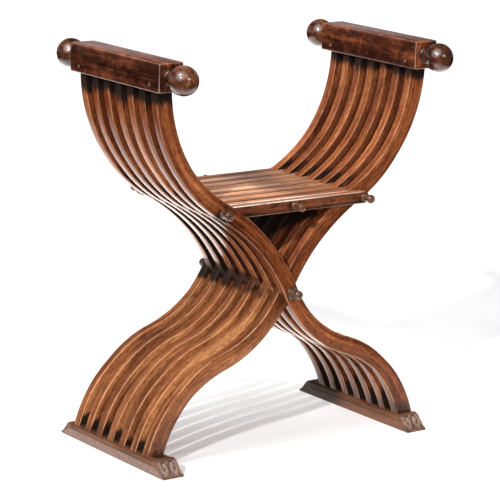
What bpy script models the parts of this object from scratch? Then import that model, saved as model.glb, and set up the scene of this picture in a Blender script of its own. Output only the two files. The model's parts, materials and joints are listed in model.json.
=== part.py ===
"""A slatted X-frame folding stool with arms.

Two sets of seven S-shaped slats cross at a pivot rod, one set in the odd layers from the front and
one in the even layers. Each set is tenoned into an arm rail above and a runner below. The seat is two
sets of boards, one hinged on each set of slats, which cross on a rod in the middle and fold upwards.
Metres, +Z up, the front towards -Y, with the origin on the floor in the middle.
"""

import math

import bmesh
import bpy
from mathutils import Matrix, Vector

# Layers, from front to back
SLATS_PER_SET = 7
SLAT_THICKNESS = 0.0172
LAYER_GAP = 0.001
CLEARANCE = 0.0003

# The S of a slat: four tangent arcs, with the lean from the vertical where one passes into the next
FOOT_RISE = 0.009
FOOT_LEAN = 19
FOOT_RADIUS = 0.2225
LEG_LEAN = 71.5
LEG_RADIUS = 0.224
PIVOT_LEAN = 26.4
WAIST_RADIUS = 0.384
SEAT_LEAN = 60.2
ELBOW_RADIUS = 0.261
ARM_LEAN = 2.5
ARM_RISE = 0.004
FOOT_WIDTH = 0.0335
LEG_WIDTH = 0.024
PIVOT_WIDTH = 0.0295
SEAT_WIDTH = 0.0255
ARM_END_WIDTH = 0.0325

# Tenons and the pegs through them
TENON_SHOULDER = 0.0032
ARM_CROWN = 0.020
RUNNER_FLOOR = 0.008
PEG_RADIUS = 0.003
PEG_HEIGHT = 0.012
PEG_PROUD = 0.0006

# Arm rails and their ball finials
ARM_WIDTH = 0.050
ARM_HEIGHT = 0.051
ARM_OVERHANG = 0.020
ARM_ROUNDING = 0.0035
BALL_PROUD = 0.001
NECK_RADIUS = 0.0125
NECK_LENGTH = 0.009
COLLAR_RADIUS = 0.0165
COLLAR_LENGTH = 0.0045
SPIGOT_RADIUS = 0.008
SPIGOT_LENGTH = 0.016

# Runners
RUNNER_WIDTH = 0.042
RUNNER_HEIGHT = 0.027
RUNNER_OVERHANG = 0.0375
RUNNER_ROUNDING = 0.0045
TOE_RUN = 0.028
TOE_NOSE = 0.004

# Rods and their knobs. The seat rods lie outside the slats' middle line
ROD_RADIUS = 0.0045
SEAT_ROD_SET = 0.005
KNOB_LENGTH = 0.0235
KNOB_SOCKET = 0.012
KNOB_COLLAR = 0.0035
KNOB_WAIST_AT = 0.0095
KNOB_SWELL_AT = 0.0183
KNOB_SHOULDER_AT = 0.0221
WAIST_SHARE = 0.76
SHOULDER_SHARE = 0.92
TIP_SHARE = 0.66
PIVOT_KNOB_RADIUS = 0.0085
PIVOT_COLLAR_RADIUS = 0.011
LEFT_KNOB_RADIUS = 0.009
CENTRE_KNOB_RADIUS = 0.0075
RIGHT_KNOB_RADIUS = 0.008
SEAT_COLLAR_RADIUS = 0.0082

# Seat boards, and how far the stool folds
BOARD_DEPTH = 0.022
FOLD_LIMIT = 44

# Facets
DEGREES_PER_FACET = 7
ROD_FACETS = 16
BALL_FACETS = 20
PEG_FACETS = 10
END_FACETS = 8
BUTT_FACETS = 4
TOE_FACETS = 8
FOLD_STEPS = 24
ROUND_PROFILE = 0.5

# The two edges of a right-arm slat
OUTER = 1
INNER = -1

PITCH = SLAT_THICKNESS + LAYER_GAP
LAYERS = 2 * SLATS_PER_SET
STACK_DEPTH = LAYERS * PITCH - LAYER_GAP
SET_DEPTH = STACK_DEPTH - PITCH
ARM_LENGTH = SET_DEPTH + 2 * ARM_OVERHANG
RUNNER_LENGTH = STACK_DEPTH + 2 * RUNNER_OVERHANG
ARM_TENON = ARM_HEIGHT - ARM_CROWN
RUNNER_TENON = RUNNER_HEIGHT - RUNNER_FLOOR
BALL_RADIUS = ARM_WIDTH / 2 + BALL_PROUD
PEGGED_SLATS = (1, (SLATS_PER_SET + 1) // 2, SLATS_PER_SET)
HALF_TURN = math.pi


def smooth_step(share):
    return share * share * (3 - 2 * share)


def steps_for(lean_from, lean_to):
    return max(2, round(abs(lean_to - lean_from) / DEGREES_PER_FACET))


def slat_line():
    """The middle line of a right-arm slat from foot to arm, as (x, z, lean, width) from the pivot.

    It also gives the place of the seat rod, near the outer edge where the waist's arc passes into the
    elbow's.
    """
    arcs = (
        (FOOT_RADIUS, FOOT_LEAN, LEG_LEAN, FOOT_WIDTH, LEG_WIDTH),
        (LEG_RADIUS, LEG_LEAN, PIVOT_LEAN, LEG_WIDTH, PIVOT_WIDTH),
        (WAIST_RADIUS, PIVOT_LEAN, SEAT_LEAN, PIVOT_WIDTH, SEAT_WIDTH),
        (ELBOW_RADIUS, SEAT_LEAN, ARM_LEAN, SEAT_WIDTH, ARM_END_WIDTH),
    )
    foot_lean = math.radians(FOOT_LEAN)
    arm_lean = math.radians(ARM_LEAN)
    x = FOOT_RISE * math.tan(foot_lean)
    z = FOOT_RISE
    line = [(0, 0, foot_lean, FOOT_WIDTH), (x, z, foot_lean, FOOT_WIDTH)]
    arc_ends = []
    for radius, lean_from, lean_to, width_from, width_to in arcs:
        start = math.radians(lean_from)
        turn = math.copysign(radius, lean_to - lean_from)
        steps = steps_for(lean_from, lean_to)
        for step in range(1, steps + 1):
            share = step / steps
            lean = math.radians(lean_from + (lean_to - lean_from) * share)
            along_x = x + turn * (math.cos(start) - math.cos(lean))
            along_z = z + turn * (math.sin(lean) - math.sin(start))
            width = width_from + (width_to - width_from) * smooth_step(share)
            line.append((along_x, along_z, lean, width))
        x, z = line[-1][:2]
        arc_ends.append((x, z))
    line.append((x + ARM_RISE * math.tan(arm_lean), z + ARM_RISE, arm_lean, ARM_END_WIDTH))
    pivot_x, pivot_z = arc_ends[1]
    seat_lean = math.radians(SEAT_LEAN)
    rod_x = arc_ends[2][0] + SEAT_ROD_SET * math.cos(seat_lean)
    rod_z = arc_ends[2][1] - SEAT_ROD_SET * math.sin(seat_lean)
    stations = [(x - pivot_x, z - pivot_z, lean, width) for x, z, lean, width in line]
    return stations, (rod_x - pivot_x, rod_z - pivot_z)


def slat_edge(side, extra=0.0):
    """One edge of the slat, foot to arm: the outer one is below and to the right of the inner one.

    Both ends are cut level, to stand on the runner and under the arm rail.
    """
    last = len(STATIONS) - 1
    edge = []
    for index, (x, z, lean, width) in enumerate(STATIONS):
        reach = side * (width / 2 + extra)
        if index in (0, last):
            edge.append((x + reach / math.cos(lean), z))
        else:
            edge.append((x + reach * math.cos(lean), z - reach * math.sin(lean)))
    return edge


STATIONS, SEAT_ROD = slat_line()
FOOT_X, FOOT_Z = STATIONS[0][:2]
ARM_X, ARM_Z = STATIONS[-1][:2]
PIVOT_Z = RUNNER_HEIGHT + CLEARANCE - FOOT_Z
SEAT_X = SEAT_ROD[0]
SEAT_Z = PIVOT_Z + SEAT_ROD[1]
ARM_BOTTOM = PIVOT_Z + ARM_Z + CLEARANCE
ARM_TENON_WIDTH = ARM_END_WIDTH / math.cos(math.radians(ARM_LEAN)) - 2 * TENON_SHOULDER
FOOT_TENON_WIDTH = FOOT_WIDTH / math.cos(math.radians(FOOT_LEAN)) - 2 * TENON_SHOULDER
TENON_THICKNESS = SLAT_THICKNESS - 2 * TENON_SHOULDER


def layer_y(layer):
    """The middle of a layer, counted from 1 at the front."""
    return (layer - (LAYERS + 1) / 2) * PITCH


def turn_about_y(angle, x, z):
    return (
        x * math.cos(angle) + z * math.sin(angle),
        z * math.cos(angle) - x * math.sin(angle),
    )


def rod_path_in_board():
    """How the left seat rod travels, seen from a left-hinged board, as the stool folds.

    The seat's boards turn at a steady rate against the frames and meet the rods again at the fold's
    limit. Between the two ends the rod leaves its seat, so the boards sit over it with an open rebate.
    """
    limit = math.radians(FOLD_LIMIT)
    half_spread = math.atan2(SEAT_X, SEAT_ROD[1])
    lift = math.acos(math.sin(half_spread - limit / 2) / math.sin(half_spread))
    rate = lift / (limit / 2)
    path = []
    for step in range(FOLD_STEPS + 1):
        fold = limit * step / FOLD_STEPS
        rod_x, rod_z = turn_about_y(fold, -SEAT_X, SEAT_ROD[1])
        middle_x, middle_z = turn_about_y(fold * (rate + 1) / 2, -SEAT_X, 0)
        offset_x = rod_x - SEAT_X - middle_x
        offset_z = rod_z - SEAT_ROD[1] - middle_z
        path.append(turn_about_y(fold * (rate - 1) / 2, offset_x, offset_z))
    return path, rate


ROD_PATH, SEAT_RATE = rod_path_in_board()


def butt_x(height):
    """How far from the middle of the seat a board ends, at a height above the seat rods."""
    edge = slat_edge(INNER, CLEARANCE)
    for (x0, z0), (x1, z1) in zip(edge, edge[1:]):
        if z0 <= SEAT_ROD[1] + height <= z1:
            return x0 + (x1 - x0) * (SEAT_ROD[1] + height - z0) / (z1 - z0)
    raise ValueError("the seat board is deeper than the slat is tall")


def arc(x, z, radius, first, last):
    """An arc about (x, z), from one angle to another in the plane of a board."""
    angles = [first + (last - first) * step / END_FACETS for step in range(END_FACETS + 1)]
    return [(x + radius * math.cos(angle), z + radius * math.sin(angle)) for angle in angles]


def butt_end(side):
    """The slanting end of a board, top to bottom, which lies along the slats of the other set."""
    heights = [BOARD_DEPTH / 2 - BOARD_DEPTH * step / BUTT_FACETS for step in range(BUTT_FACETS + 1)]
    return [(side * butt_x(height), height) for height in heights]


def right_board_outline():
    """A board hinged on the right seat rod, from the middle of the seat and the height of the rods."""
    hinge = arc(SEAT_X, 0, BOARD_DEPTH / 2, -HALF_TURN / 2, HALF_TURN / 2)
    return hinge + butt_end(-1)


def left_board_outline():
    """A board that hooks over the left seat rod, with a rebate that is open below."""
    reach = ROD_RADIUS + 2 * CLEARANCE
    half_depth = BOARD_DEPTH / 2
    far_x = max(x for x, _ in ROD_PATH) + reach
    tip_angle = 2 * HALF_TURN - math.acos(-reach / half_depth)
    hook = arc(-SEAT_X, 0, half_depth, HALF_TURN / 2, tip_angle)
    crook = arc(-SEAT_X, 0, reach, HALF_TURN, HALF_TURN / 2)
    rebate = crook + [(far_x, reach), (far_x, -half_depth)]
    return hook + rebate + butt_end(1)[::-1]


def clear_scene():
    for old in list(bpy.data.objects):
        bpy.data.objects.remove(old, do_unlink=True)


def wood(name, colour, roughness):
    material = bpy.data.materials.new(name)
    material.use_nodes = True
    shader = material.node_tree.nodes["Principled BSDF"]
    shader.inputs["Base Color"].default_value = (*colour, 1)
    shader.inputs["Roughness"].default_value = roughness
    shader.inputs["Metallic"].default_value = 0
    return material


def mesh_from(shape, name):
    bmesh.ops.recalc_face_normals(shape, faces=shape.faces)
    mesh = bpy.data.meshes.new(name)
    shape.to_mesh(mesh)
    shape.free()
    return mesh


def prism(outline, thickness):
    """An outline in X and Z, drawn out evenly to both sides along Y."""
    shape = bmesh.new()
    front = shape.faces.new([shape.verts.new((x, -thickness / 2, z)) for x, z in outline])
    drawn = bmesh.ops.extrude_face_region(shape, geom=[front])["geom"]
    back = [item for item in drawn if isinstance(item, bmesh.types.BMVert)]
    bmesh.ops.translate(shape, verts=back, vec=(0, thickness, 0))
    bmesh.ops.recalc_face_normals(shape, faces=shape.faces)
    return shape


def turned(profile, facets):
    """A profile of (place along Y, radius) points, spun once round the Y axis."""
    shape = bmesh.new()
    points = [shape.verts.new((radius, along, 0)) for along, radius in profile]
    edges = [shape.edges.new(pair) for pair in zip(points, points[1:])]
    bmesh.ops.spin(
        shape,
        geom=points + edges,
        cent=(0, 0, 0),
        axis=(0, 1, 0),
        angle=2 * HALF_TURN,
        steps=facets,
        use_merge=True,
    )
    bmesh.ops.remove_doubles(shape, verts=shape.verts, dist=CLEARANCE / 100)
    return shape


def block(shape, size, place):
    """Adds a box of this size about this place."""
    made = bmesh.ops.create_cube(shape, size=1)["verts"]
    bmesh.ops.scale(shape, verts=made, vec=size)
    bmesh.ops.translate(shape, verts=made, vec=place)
    return made


def round_bar(shape, radius, facets, length, axis, place):
    """Adds a cylinder about this place, along X or Y. Its flats touch the radius."""
    turns = {"X": Matrix.Rotation(HALF_TURN / 2, 4, "Y"), "Y": Matrix.Rotation(HALF_TURN / 2, 4, "X")}
    bmesh.ops.create_cone(
        shape,
        cap_ends=True,
        segments=facets,
        radius1=radius / math.cos(math.pi / facets),
        radius2=radius / math.cos(math.pi / facets),
        depth=length,
        matrix=Matrix.Translation(place) @ turns[axis],
    )


def empty(name, place):
    """A joint's axis, or the whole stool's origin."""
    made = bpy.data.objects.new(name, None)
    made.location = place
    bpy.context.scene.collection.objects.link(made)
    return made


def piece(name, mesh, finish, carrier, place, half_turned=False):
    """One sub-part, placed in the stool's frame and carried by an empty."""
    made = bpy.data.objects.new(name, mesh)
    bpy.context.scene.collection.objects.link(made)
    made.parent = carrier
    made.location = Vector(place) - carrier.location
    made.rotation_euler.z = HALF_TURN if half_turned else 0
    if not mesh.materials:
        mesh.materials.append(finish)
    return made


def cutter(name, shape):
    made = bpy.data.objects.new(name, mesh_from(shape, name))
    bpy.context.scene.collection.objects.link(made)
    made.hide_render = True
    made.display_type = "WIRE"
    return made


def cut(target, tool):
    modifier = target.modifiers.new(tool.name, "BOOLEAN")
    modifier.operation = "DIFFERENCE"
    modifier.object = tool


def add_tenon(shape, level, reach):
    """Insets the slat's level end at this height and draws a tenon out of it."""
    ends = [face for face in shape.faces if abs(face.normal.z) > abs(face.normal.x)]
    end = min(ends, key=lambda face: abs(face.calc_center_median().z - level))
    bmesh.ops.inset_region(shape, faces=[end], thickness=TENON_SHOULDER, use_even_offset=True)
    drawn = bmesh.ops.extrude_discrete_faces(shape, faces=[end])["faces"]
    bmesh.ops.translate(shape, verts=drawn[0].verts, vec=(0, 0, reach))


def slat_mesh():
    outline = slat_edge(OUTER) + slat_edge(INNER)[::-1]
    shape = prism(outline, SLAT_THICKNESS)
    add_tenon(shape, FOOT_Z, -RUNNER_TENON)
    add_tenon(shape, ARM_Z, ARM_TENON)
    return mesh_from(shape, "slat")


def arm_mesh():
    shape = bmesh.new()
    block(shape, (ARM_WIDTH, ARM_LENGTH, ARM_HEIGHT), (0, 0, 0))
    edges = shape.edges[:]
    bmesh.ops.bevel(
        shape, geom=edges, offset=ARM_ROUNDING, segments=2, profile=ROUND_PROFILE, affect="EDGES"
    )
    return mesh_from(shape, "arm")


def runner_mesh():
    """A moulded foot rail with an ogee toe at each end, seen from its side and drawn out along X."""
    half = RUNNER_LENGTH / 2
    toe = []
    for step in range(TOE_FACETS + 1):
        share = step / TOE_FACETS
        height = TOE_NOSE + (RUNNER_HEIGHT - TOE_NOSE) * smooth_step(share)
        toe.append((half - TOE_RUN * share, height))
    outline = [(-half, 0), (half, 0)] + toe + [(-y, z) for y, z in toe[::-1]]
    shape = prism(outline, RUNNER_WIDTH)
    top = [
        edge
        for edge in shape.edges
        if abs(edge.verts[0].co.y - edge.verts[1].co.y) < CLEARANCE
        and min(vert.co.z for vert in edge.verts) > RUNNER_HEIGHT - CLEARANCE
    ]
    bmesh.ops.bevel(
        shape, geom=top, offset=RUNNER_ROUNDING, segments=3, profile=ROUND_PROFILE, affect="EDGES"
    )
    bmesh.ops.rotate(shape, verts=shape.verts, matrix=Matrix.Rotation(HALF_TURN / 2, 3, "Z"))
    return mesh_from(shape, "runner")


def ball_mesh():
    """A ball finial on its neck and collar, with a spigot that goes into the arm's end at y = 0."""
    middle = CLEARANCE + NECK_LENGTH + BALL_RADIUS
    neck_angle = math.asin(NECK_RADIUS / BALL_RADIUS)
    profile = [(-SPIGOT_LENGTH, 0), (-SPIGOT_LENGTH, SPIGOT_RADIUS), (CLEARANCE, SPIGOT_RADIUS)]
    profile += [(CLEARANCE, COLLAR_RADIUS), (COLLAR_LENGTH, COLLAR_RADIUS), (COLLAR_LENGTH, NECK_RADIUS)]
    steps = BALL_FACETS // 2
    for step in range(steps):
        angle = neck_angle + (HALF_TURN - neck_angle) * step / steps
        profile.append((middle - BALL_RADIUS * math.cos(angle), BALL_RADIUS * math.sin(angle)))
    profile.append((middle + BALL_RADIUS, 0))
    return mesh_from(turned(profile, BALL_FACETS), "ball")


def knob_profile(radius, collar, outwards):
    """The turned end of a rod from its seat on the stack to its tip: a collar, a waist and a head."""
    waist = radius * WAIST_SHARE
    profile = [(0, collar), (KNOB_COLLAR, collar), (KNOB_COLLAR, waist), (KNOB_WAIST_AT, waist)]
    profile += [(KNOB_SWELL_AT, radius), (KNOB_SHOULDER_AT, radius * SHOULDER_SHARE)]
    profile += [(KNOB_LENGTH, radius * TIP_SHARE), (KNOB_LENGTH, 0)]
    return [(outwards * along, out) for along, out in profile]


def rod_mesh(knob_radius, collar):
    """A rod with its front knob, whose tail goes through the stack into the loose back knob."""
    front = -STACK_DEPTH / 2 - CLEARANCE
    tail = STACK_DEPTH / 2 + KNOB_SOCKET
    profile = [(front + along, radius) for along, radius in knob_profile(knob_radius, collar, -1)[::-1]]
    profile += [(front, ROD_RADIUS), (tail, ROD_RADIUS), (tail, 0)]
    return mesh_from(turned(profile, ROD_FACETS), "rod")


def loose_knob_mesh(knob_radius, collar):
    """The back knob of a rod, with a blind socket for the rod's tail."""
    seat = STACK_DEPTH / 2 + CLEARANCE
    bore = (ROD_RADIUS + CLEARANCE) / math.cos(math.pi / ROD_FACETS)
    profile = [(seat + KNOB_SOCKET, 0), (seat + KNOB_SOCKET, bore), (seat, bore)]
    profile += [(seat + along, radius) for along, radius in knob_profile(knob_radius, collar, 1)]
    return mesh_from(turned(profile, ROD_FACETS), "knob")


def peg_mesh():
    shape = bmesh.new()
    round_bar(shape, PEG_RADIUS, PEG_FACETS, ARM_WIDTH + 2 * PEG_PROUD, "X", (0, 0, 0))
    return mesh_from(shape, "peg")


def bore_cutter(name, x, z):
    shape = bmesh.new()
    round_bar(shape, ROD_RADIUS + CLEARANCE, ROD_FACETS, 2 * STACK_DEPTH, "Y", (x, 0, z))
    return cutter(name, shape)


def mortise_cutter(name, places, x, z, width, depth):
    """Mortises open towards the slats, with play for the tenons."""
    shape = bmesh.new()
    play = 2 * CLEARANCE
    for y in places:
        block(shape, (width + play, TENON_THICKNESS + play, 2 * (depth + CLEARANCE)), (x, y, z))
    return cutter(name, shape)


def peg_cutter(name, places, x):
    shape = bmesh.new()
    for y in places:
        place = (x, y, ARM_BOTTOM + PEG_HEIGHT)
        round_bar(shape, PEG_RADIUS + CLEARANCE, PEG_FACETS, 2 * ARM_WIDTH, "X", place)
    return cutter(name, shape)


def spigot_cutter(name, x, y, z):
    shape = bmesh.new()
    reach = 2 * (SPIGOT_LENGTH + CLEARANCE)
    for end in (-1, 1):
        place = (x, y + end * ARM_LENGTH / 2, z)
        round_bar(shape, SPIGOT_RADIUS + CLEARANCE, BALL_FACETS, reach, "Y", place)
    return cutter(name, shape)


def build_frame(hand, side, first_layer, carrier):
    """One set of slats with its arm rail, balls, pegs and runner. The left set is a half turn away."""
    turned_round = side < 0
    places = [layer_y(first_layer + 2 * index) for index in range(SLATS_PER_SET)]
    pegged = [places[number - 1] for number in PEGGED_SLATS]
    middle = sum(places) / SLATS_PER_SET
    arm_x = side * ARM_X
    foot_x = side * FOOT_X
    arm_z = ARM_BOTTOM + ARM_HEIGHT / 2
    peg_holes = peg_cutter(f"{hand}_peg_holes", pegged, arm_x)
    seat_bore = bore_cutter(f"{hand}_seat_bore", side * SEAT_X, SEAT_Z)
    shared_slat = slat_mesh()
    for number, y in enumerate(places, start=1):
        place = (0, y, PIVOT_Z)
        slat = piece(f"{hand}_slat_{number}", shared_slat, SLAT_WOOD, carrier, place, turned_round)
        cut(slat, PIVOT_BORE)
        cut(slat, seat_bore)
        if number in PEGGED_SLATS:
            cut(slat, peg_holes)
    arm = piece(f"{hand}_arm", arm_mesh(), ARM_WOOD, carrier, (arm_x, middle, arm_z))
    mortises = (places, arm_x, ARM_BOTTOM, ARM_TENON_WIDTH, ARM_TENON)
    cut(arm, mortise_cutter(f"{hand}_arm_mortises", *mortises))
    cut(arm, peg_holes)
    cut(arm, spigot_cutter(f"{hand}_spigot_holes", arm_x, middle, arm_z))
    shared_ball = ball_mesh()
    for end, word in ((-1, "front"), (1, "back")):
        place = (arm_x, middle + end * ARM_LENGTH / 2, arm_z)
        piece(f"{hand}_ball_{word}", shared_ball, ARM_WOOD, carrier, place, end < 0)
    shared_peg = peg_mesh()
    for number, y in enumerate(pegged, start=1):
        place = (arm_x, y, ARM_BOTTOM + PEG_HEIGHT)
        piece(f"{hand}_arm_peg_{number}", shared_peg, PEG_WOOD, carrier, place)
    other = "left" if hand == "right" else "right"
    runner = piece(f"{other}_runner", runner_mesh(), RUNNER_WOOD, carrier, (foot_x, 0, 0))
    mortises = (places, foot_x, RUNNER_HEIGHT, FOOT_TENON_WIDTH, RUNNER_TENON)
    cut(runner, mortise_cutter(f"{other}_runner_mortises", *mortises))


def build_rod(name, knob_radius, collar, x, z, carrier):
    piece(name, rod_mesh(knob_radius, collar), ROD_WOOD, carrier, (x, 0, z))
    piece(f"{name}_knob", loose_knob_mesh(knob_radius, collar), ROD_WOOD, carrier, (x, 0, z))


def build_boards(hand, outline, first_layer, carrier, bores):
    shared = mesh_from(prism(outline, SLAT_THICKNESS), f"{hand}_board")
    for index in range(SLATS_PER_SET):
        place = (0, layer_y(first_layer + 2 * index), SEAT_Z)
        board = piece(f"{hand}_seat_board_{index + 1}", shared, BOARD_WOOD, carrier, place)
        for bore in bores:
            cut(board, bore)


clear_scene()
SLAT_WOOD = wood("slat walnut", (0.27, 0.10, 0.035), 0.35)
BOARD_WOOD = wood("seat walnut", (0.30, 0.13, 0.055), 0.38)
ARM_WOOD = wood("arm walnut", (0.10, 0.035, 0.018), 0.28)
RUNNER_WOOD = wood("runner walnut", (0.24, 0.12, 0.07), 0.5)
ROD_WOOD = wood("turned walnut", (0.16, 0.07, 0.03), 0.4)
PEG_WOOD = wood("peg walnut", (0.06, 0.025, 0.015), 0.5)

STOOL = empty("stool", (0, 0, 0))
FOLD_AXIS = empty("fold_axis", (0, 0, PIVOT_Z))
RIGHT_SEAT_AXIS = empty("right_seat_axis", (SEAT_X, 0, SEAT_Z))
LEFT_SEAT_AXIS = empty("left_seat_axis", (0, 0, SEAT_Z))

PIVOT_BORE = bore_cutter("pivot_bore", 0, PIVOT_Z)
RIGHT_BORE = bore_cutter("right_hinge_bore", SEAT_X, SEAT_Z)
CENTRE_BORE = bore_cutter("centre_bore", 0, SEAT_Z)

build_frame("right", 1, 2, STOOL)
build_frame("left", -1, 1, FOLD_AXIS)
build_rod("pivot_rod", PIVOT_KNOB_RADIUS, PIVOT_COLLAR_RADIUS, 0, PIVOT_Z, STOOL)
build_rod("right_seat_rod", RIGHT_KNOB_RADIUS, SEAT_COLLAR_RADIUS, SEAT_X, SEAT_Z, STOOL)
build_rod("left_seat_rod", LEFT_KNOB_RADIUS, SEAT_COLLAR_RADIUS, -SEAT_X, SEAT_Z, FOLD_AXIS)
build_rod("centre_seat_rod", CENTRE_KNOB_RADIUS, SEAT_COLLAR_RADIUS, 0, SEAT_Z, RIGHT_SEAT_AXIS)
build_boards("right", right_board_outline(), 1, RIGHT_SEAT_AXIS, (RIGHT_BORE, CENTRE_BORE))
build_boards("left", left_board_outline(), 2, LEFT_SEAT_AXIS, (CENTRE_BORE,))
print(f"pivot at z {PIVOT_Z:.5f}, seat rods at x {SEAT_X:.5f} z {SEAT_Z:.5f}")
print(f"the seat turns {SEAT_RATE:.5f} times as fast as each frame closes")
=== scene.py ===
# %% [markdown]
# # Finishing a slatted folding stool with arms
# Two sets of S-shaped walnut slats cross on a rod, and a seat of hinged boards lies between them.
# The solids of the stool are loaded first and never move. Each later cell models or finishes one
# kind of piece, and lets it ride on the body that carries it, so that the finished stool still folds.

# %% Load the solids
import json
import math

import bmesh
import bpy
from mathutils import Matrix, Vector, noise

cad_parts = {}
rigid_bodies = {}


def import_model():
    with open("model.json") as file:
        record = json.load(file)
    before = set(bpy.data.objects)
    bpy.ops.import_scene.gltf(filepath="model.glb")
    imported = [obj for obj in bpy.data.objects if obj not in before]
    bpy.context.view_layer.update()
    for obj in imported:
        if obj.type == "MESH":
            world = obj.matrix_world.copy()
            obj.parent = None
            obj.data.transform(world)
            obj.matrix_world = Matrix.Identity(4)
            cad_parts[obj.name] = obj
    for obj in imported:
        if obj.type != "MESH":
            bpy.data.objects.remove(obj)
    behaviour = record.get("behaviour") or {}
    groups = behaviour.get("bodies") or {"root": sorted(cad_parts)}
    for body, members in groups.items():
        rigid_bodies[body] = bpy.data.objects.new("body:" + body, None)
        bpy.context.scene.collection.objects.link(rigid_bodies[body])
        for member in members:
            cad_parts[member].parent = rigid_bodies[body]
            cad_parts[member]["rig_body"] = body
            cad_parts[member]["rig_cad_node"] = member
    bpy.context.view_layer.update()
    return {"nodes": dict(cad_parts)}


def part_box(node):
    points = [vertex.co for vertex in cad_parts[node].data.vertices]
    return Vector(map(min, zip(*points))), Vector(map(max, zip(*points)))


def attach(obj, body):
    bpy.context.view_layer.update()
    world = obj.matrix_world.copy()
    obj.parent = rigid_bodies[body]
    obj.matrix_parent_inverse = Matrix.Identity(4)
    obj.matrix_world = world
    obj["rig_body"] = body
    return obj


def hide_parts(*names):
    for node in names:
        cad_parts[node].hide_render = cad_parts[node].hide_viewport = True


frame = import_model()

# %% [markdown]
# ## The camera
# The stool was taken from its front left with a long lens, a little above the height of the seat.
# A long lens keeps the two runners almost parallel. The small roll tips the picture by under two
# degrees. One matrix places the camera, so its turns follow in a known order: roll, height, side.

# %% Camera
CAMERA_PLACE = (-2.6784, -3.5951, 1.3596)
CAMERA_AZIMUTH = -36.673
CAMERA_ELEVATION = 12.807
CAMERA_ROLL = 1.782
CAMERA_LENS = 183.45
SENSOR_WIDTH = 36

bpy.ops.object.select_all(action="DESELECT")
bpy.ops.object.camera_add()
camera = bpy.context.object
camera.name = "camera"
camera.matrix_world = (
    Matrix.Translation(CAMERA_PLACE)
    @ Matrix.Rotation(math.radians(CAMERA_AZIMUTH), 4, "Z")
    @ Matrix.Rotation(math.radians(90 - CAMERA_ELEVATION), 4, "X")
    @ Matrix.Rotation(math.radians(CAMERA_ROLL), 4, "Z")
)
camera.data.lens = CAMERA_LENS
camera.data.sensor_width = SENSOR_WIDTH
camera.data.dof.use_dof = False
bpy.context.scene.camera = camera
bpy.context.scene.view_settings.view_transform = "Standard"
print("camera at", tuple(camera.location))

# %% [markdown]
# ## Shader maths as Python
# A finish is a chain of nodes. To keep it readable, a wire wraps one socket: arithmetic on wires adds
# Math nodes, and one method adds any other node, with its settings first and its sockets after.
# Most of a finish is then a colour that is stained again and again by masks.


# %% Wires
class Wire:
    """One socket of a node tree. Sums and products of wires add Math nodes."""

    def __init__(self, tree, socket=None):
        self.tree = tree
        self.socket = socket

    def node(self, kind, settings=None, sockets=None, out=0):
        """Adds a node with its settings, fills its sockets with values or wires, and gives one output."""
        made = self.tree.nodes.new("ShaderNode" + kind)
        for name, value in (settings or {}).items():
            if name == "stops":
                while len(made.color_ramp.elements) < len(value):
                    made.color_ramp.elements.new(1)
                for element, (place, colour) in zip(made.color_ramp.elements, value):
                    element.position = place
                    element.color = (*colour, 1)
            else:
                setattr(made, name, value)
        for name, value in (sockets or {}).items():
            if isinstance(value, Wire):
                self.tree.links.new(value.socket, made.inputs[name])
            else:
                made.inputs[name].default_value = value
        return Wire(self.tree, made.outputs[out])

    def math(self, operation, *values):
        return self.node("Math", {"operation": operation}, dict(enumerate(values)))

    def vector_math(self, operation, other, out="Vector"):
        return self.node("VectorMath", {"operation": operation}, {0: self, 1: other}, out)

    def __add__(self, other):
        return self.math("ADD", self, other)

    def __sub__(self, other):
        return self.math("SUBTRACT", self, other)

    def __rsub__(self, other):
        return self.math("SUBTRACT", other, self)

    def __mul__(self, other):
        return self.math("MULTIPLY", self, other)

    def __truediv__(self, other):
        return self.math("DIVIDE", self, other)

    __radd__ = __add__
    __rmul__ = __mul__

    def at_least(self, other):
        return self.math("MAXIMUM", self, other)

    def step(self, low, high):
        """A smooth rise from 0 at low to 1 at high."""
        settings = {"interpolation_type": "SMOOTHSTEP"}
        return self.node("MapRange", settings, {"Value": self, "From Min": low, "From Max": high})

    def part(self, axis):
        return self.node("SeparateXYZ", None, {"Vector": self}, axis)

    def grain(self, scale, detail, roughness=0.6, distortion=0.0):
        """Noise over this vector, which is first stretched by a scale along each axis."""
        stretched = self.vector_math("MULTIPLY", scale)
        sockets = {"Vector": stretched, "Scale": 1, "Detail": detail, "Roughness": roughness}
        return self.node("TexNoise", None, {**sockets, "Distortion": distortion})

    def ramp(self, places, shades):
        """A colour that runs through the shades as this wire rises through the places."""
        return self.node("ValToRGB", {"stops": list(zip(places, shades))}, {"Fac": self})

    def tint(self, first, second, blend="MIX"):
        """Goes from one colour to another by this wire."""
        settings = {"data_type": "RGBA", "blend_type": blend, "clamp_factor": True}
        first = first if isinstance(first, Wire) else (*first, 1)
        second = second if isinstance(second, Wire) else (*second, 1)
        return self.node("Mix", settings, {0: self, 6: first, 7: second}, 2)

    def stained(self, *stains):
        """This colour, multiplied by one shade after another, each as far as its mask says."""
        colour = self
        for mask, shade in stains:
            colour = mask.tint(colour, shade, "MULTIPLY")
        return colour


print("a wire can", ", ".join(name for name in vars(Wire) if not name.startswith("_")))

# %% [markdown]
# ## Starting and ending a finish
# A finish starts with the place on the piece, and may read a value that is stored on the points. It
# ends in the sockets of one Principled shader. These helpers keep both ends the same for every wood.


# %% Finishes
def new_finish(name):
    """A material, a wire to start its maths from, and the place on the piece."""
    material = bpy.data.materials.new(name)
    material.use_nodes = True
    start = Wire(material.node_tree)
    return material, start, start.node("TexCoord", out="Object")


def attribute(start, name, out="Fac"):
    return start.node("Attribute", {"attribute_name": name}, out=out)


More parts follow.
